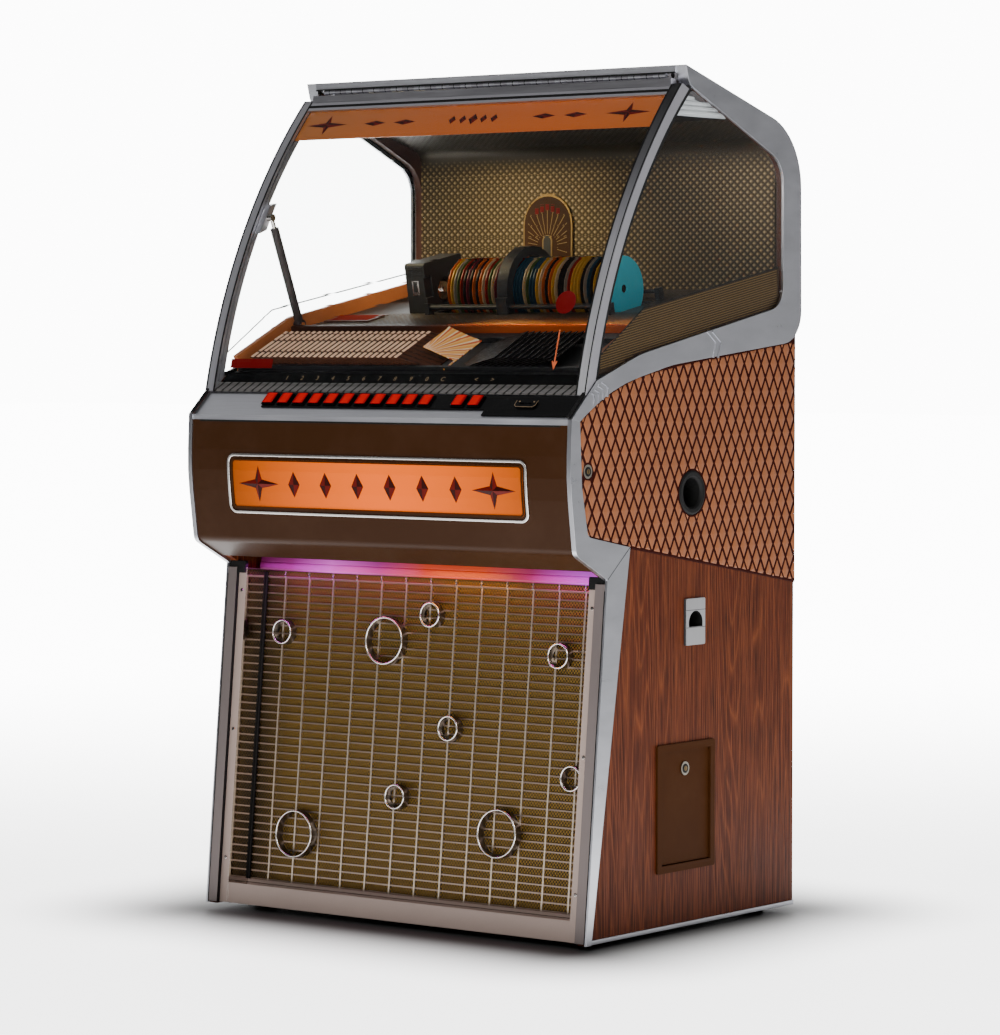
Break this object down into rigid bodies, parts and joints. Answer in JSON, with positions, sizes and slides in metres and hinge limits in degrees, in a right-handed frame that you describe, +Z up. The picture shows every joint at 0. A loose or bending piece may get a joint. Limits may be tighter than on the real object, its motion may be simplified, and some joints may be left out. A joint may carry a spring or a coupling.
{
  "type": "cd jukebox",
  "caption": "Floor-standing cd jukebox with a hinged curved glass lid over a disc row, a sloping button panel, a lit nose plate and a ringed ladder grille between stepped jambs.",
  "frame": {"origin": "centre of the outer box at floor level, under the glide feet", "axes": "+Z up, -Y towards the player, +X to the right of someone facing the front"},
  "size_m": [0.87, 0.6995, 1.52],
  "materials": {
    "wood_veneer": "satin walnut veneer with upright grain",
    "black_board": "board stained black, matt",
    "satin_trim": "satin, fine brush lines along the trim",
    "polished_steel": "polished sheet and bar",
    "padded_laminate": "embossed laminate with a lattice of padded diamonds",
    "clear_glass": "clear, polished",
    "amber_lens": "translucent amber, lit from behind",
    "brown_gloss": "dark brown, glossy",
    "brown_paint": "baked brown enamel",
    "black_plastic": "moulded, fine grain",
    "black_rubber": "moulded",
    "gold_sheet": "embossed gold-coloured sheet",
    "dark_metal": "powder-coated",
    "disc_mirror": "mirrored plastic with a rainbow sheen",
    "page_card": "printed card in clear sleeves",
    "red_button": "moulded red, glossy"
  },
  "bodies": {
    "cabinet": {"side_board_left": "wood_veneer", "side_board_right": "wood_veneer", "base_board": "black_board", "rear_panel": "black_board", "roof_shell": "satin_trim", "roof_rail": "satin_trim", "hood_trims": "satin_trim", "front_trims": "satin_trim", "side_pads": "padded_laminate", "glide_feet": "black_rubber", "side_windows": "clear_glass", "inner_boards": "wood_veneer", "back_wall": "gold_sheet", "mech_deck": "gold_sheet", "title_deck": "black_plastic", "number_strip": "black_plastic", "fascia": "satin_trim", "selector_panel": "black_plastic", "nose_panel": "brown_gloss", "name_plate": "amber_lens", "plate_bezel": "polished_steel", "light_rail": "amber_lens", "grille_surround": "polished_steel", "grille": "polished_steel", "grille_mesh": "gold_sheet", "grille_rings": "polished_steel", "speaker_baffle": "black_board", "amplifier": "dark_metal", "cash_box": "dark_metal", "cash_door_frame": "brown_paint", "coin_return": "polished_steel", "grip_cups": "black_plastic", "player_housing": "black_plastic", "disc_rack": "black_plastic", "discs": "disc_mirror", "title_pages": "page_card"},
    "lid": {"lid_frame": "satin_trim", "lid_glass": "clear_glass", "header_strip": "amber_lens"},
    "stay_tube": {"stay_tube": "black_plastic"},
    "stay_rod": {"stay_rod": "polished_steel"},
    "cash_door": {"cash_door": "brown_paint"},
    "cash_lock": {"cash_lock": "polished_steel"},
    "side_lock": {"side_lock": "polished_steel"},
    "pick_carriage": {"pick_carriage": "black_plastic"},
    "disc_spindle": {"disc_spindle": "polished_steel"},
    "turning_page": {"turning_page": "page_card"},
    "button_1": {"button_1": "red_button"},
    "button_2": {"button_2": "red_button"},
    "button_3": {"button_3": "red_button"},
    "button_4": {"button_4": "red_button"},
    "button_5": {"button_5": "red_button"},
    "button_6": {"button_6": "red_button"},
    "button_7": {"button_7": "red_button"},
    "button_8": {"button_8": "red_button"},
    "button_9": {"button_9": "red_button"},
    "button_10": {"button_10": "red_button"},
    "button_11": {"button_11": "red_button"},
    "button_12": {"button_12": "red_button"},
    "button_13": {"button_13": "red_button"}
  },
  "joints": [
    {"name": "lid_hinge", "type": "hinge", "parent": "cabinet", "child": "lid", "pos_m": [0, -0.014, 1.502], "axis": [-1, 0, 0], "range_deg": [0, 32]},
    {"name": "stay_swing", "type": "hinge", "parent": "cabinet", "child": "stay_tube", "pos_m": [-0.392, -0.087, 1.069], "axis": [1, 0, 0], "range_deg": [0, 8.4]},
    {"name": "stay_reach", "type": "slide", "parent": "stay_tube", "child": "stay_rod", "axis": [0, -0.3723, 0.9281], "range_m": [0, 0.1502]},
    {"name": "cash_door_hinge", "type": "hinge", "parent": "cabinet", "child": "cash_door", "pos_m": [0.4275, -0.009, 0.1275], "axis": [0, 1, 0], "range_deg": [0, 95]},
    {"name": "cash_lock_turn", "type": "hinge", "parent": "cash_door", "child": "cash_lock", "pos_m": [0.4275, -0.009, 0.289], "axis": [1, 0, 0], "range_deg": [0, 90]},
    {"name": "side_lock_turn", "type": "hinge", "parent": "cabinet", "child": "side_lock", "pos_m": [0.421, -0.298, 0.818], "axis": [1, 0, 0], "range_deg": [0, 90]},
    {"name": "pick_slide", "type": "slide", "parent": "cabinet", "child": "pick_carriage", "axis": [1, 0, 0], "range_m": [-0.158, 0.216]},
    {"name": "spindle_turn", "type": "hinge", "parent": "cabinet", "child": "disc_spindle", "pos_m": [-0.235, 0.1235, 1.13309], "axis": [1, 0, 0], "continuous": true},
    {"name": "page_turn", "type": "hinge", "parent": "cabinet", "child": "turning_page", "pos_m": [0.0815, -0.19441, 1.0145], "axis": [0, 0.9043, 0.4269], "range_deg": [0, 132]},
    {"name": "button_1_press", "type": "slide", "parent": "cabinet", "child": "button_1", "axis": [0, 0.6753, -0.7376], "range_m": [0, 0.0025], "stiffness_N_per_m": 400, "springref_m": -0.001},
    {"name": "button_2_press", "type": "slide", "parent": "cabinet", "child": "button_2", "axis": [0, 0.6753, -0.7376], "range_m": [0, 0.0025], "stiffness_N_per_m": 400, "springref_m": -0.001},
    {"name": "button_3_press", "type": "slide", "parent": "cabinet", "child": "button_3", "axis": [0, 0.6753, -0.7376], "range_m": [0, 0.0025], "stiffness_N_per_m": 400, "springref_m": -0.001},
    {"name": "button_4_press", "type": "slide", "parent": "cabinet", "child": "button_4", "axis": [0, 0.6753, -0.7376], "range_m": [0, 0.0025], "stiffness_N_per_m": 400, "springref_m": -0.001},
    {"name": "button_5_press", "type": "slide", "parent": "cabinet", "child": "button_5", "axis": [0, 0.6753, -0.7376], "range_m": [0, 0.0025], "stiffness_N_per_m": 400, "springref_m": -0.001},
    {"name": "button_6_press", "type": "slide", "parent": "cabinet", "child": "button_6", "axis": [0, 0.6753, -0.7376], "range_m": [0, 0.0025], "stiffness_N_per_m": 400, "springref_m": -0.001},
    {"name": "button_7_press", "type": "slide", "parent": "cabinet", "child": "button_7", "axis": [0, 0.6753, -0.7376], "range_m": [0, 0.0025], "stiffness_N_per_m": 400, "springref_m": -0.001},
    {"name": "button_8_press", "type": "slide", "parent": "cabinet", "child": "button_8", "axis": [0, 0.6753, -0.7376], "range_m": [0, 0.0025], "stiffness_N_per_m": 400, "springref_m": -0.001},
    {"name": "button_9_press", "type": "slide", "parent": "cabinet", "child": "button_9", "axis": [0, 0.6753, -0.7376], "range_m": [0, 0.0025], "stiffness_N_per_m": 400, "springref_m": -0.001},
    {"name": "button_10_press", "type": "slide", "parent": "cabinet", "child": "button_10", "axis": [0, 0.6753, -0.7376], "range_m": [0, 0.0025], "stiffness_N_per_m": 400, "springref_m": -0.001},
    {"name": "button_11_press", "type": "slide", "parent": "cabinet", "child": "button_11", "axis": [0, 0.6753, -0.7376], "range_m": [0, 0.0025], "stiffness_N_per_m": 400, "springref_m": -0.001},
    {"name": "button_12_press", "type": "slide", "parent": "cabinet", "child": "button_12", "axis": [0, 0.6753, -0.7376], "range_m": [0, 0.0025], "stiffness_N_per_m": 400, "springref_m": -0.001},
    {"name": "button_13_press", "type": "slide", "parent": "cabinet", "child": "button_13", "axis": [0, 0.6753, -0.7376], "range_m": [0, 0.0025], "stiffness_N_per_m": 400, "springref_m": -0.001}
  ],
  "couplings": [
    {"joint": "stay_swing", "follows": "lid_hinge", "ratio": 0.25866},
    {"joint": "stay_reach", "follows": "lid_hinge", "m_per_rad": 0.2685}
  ]
}
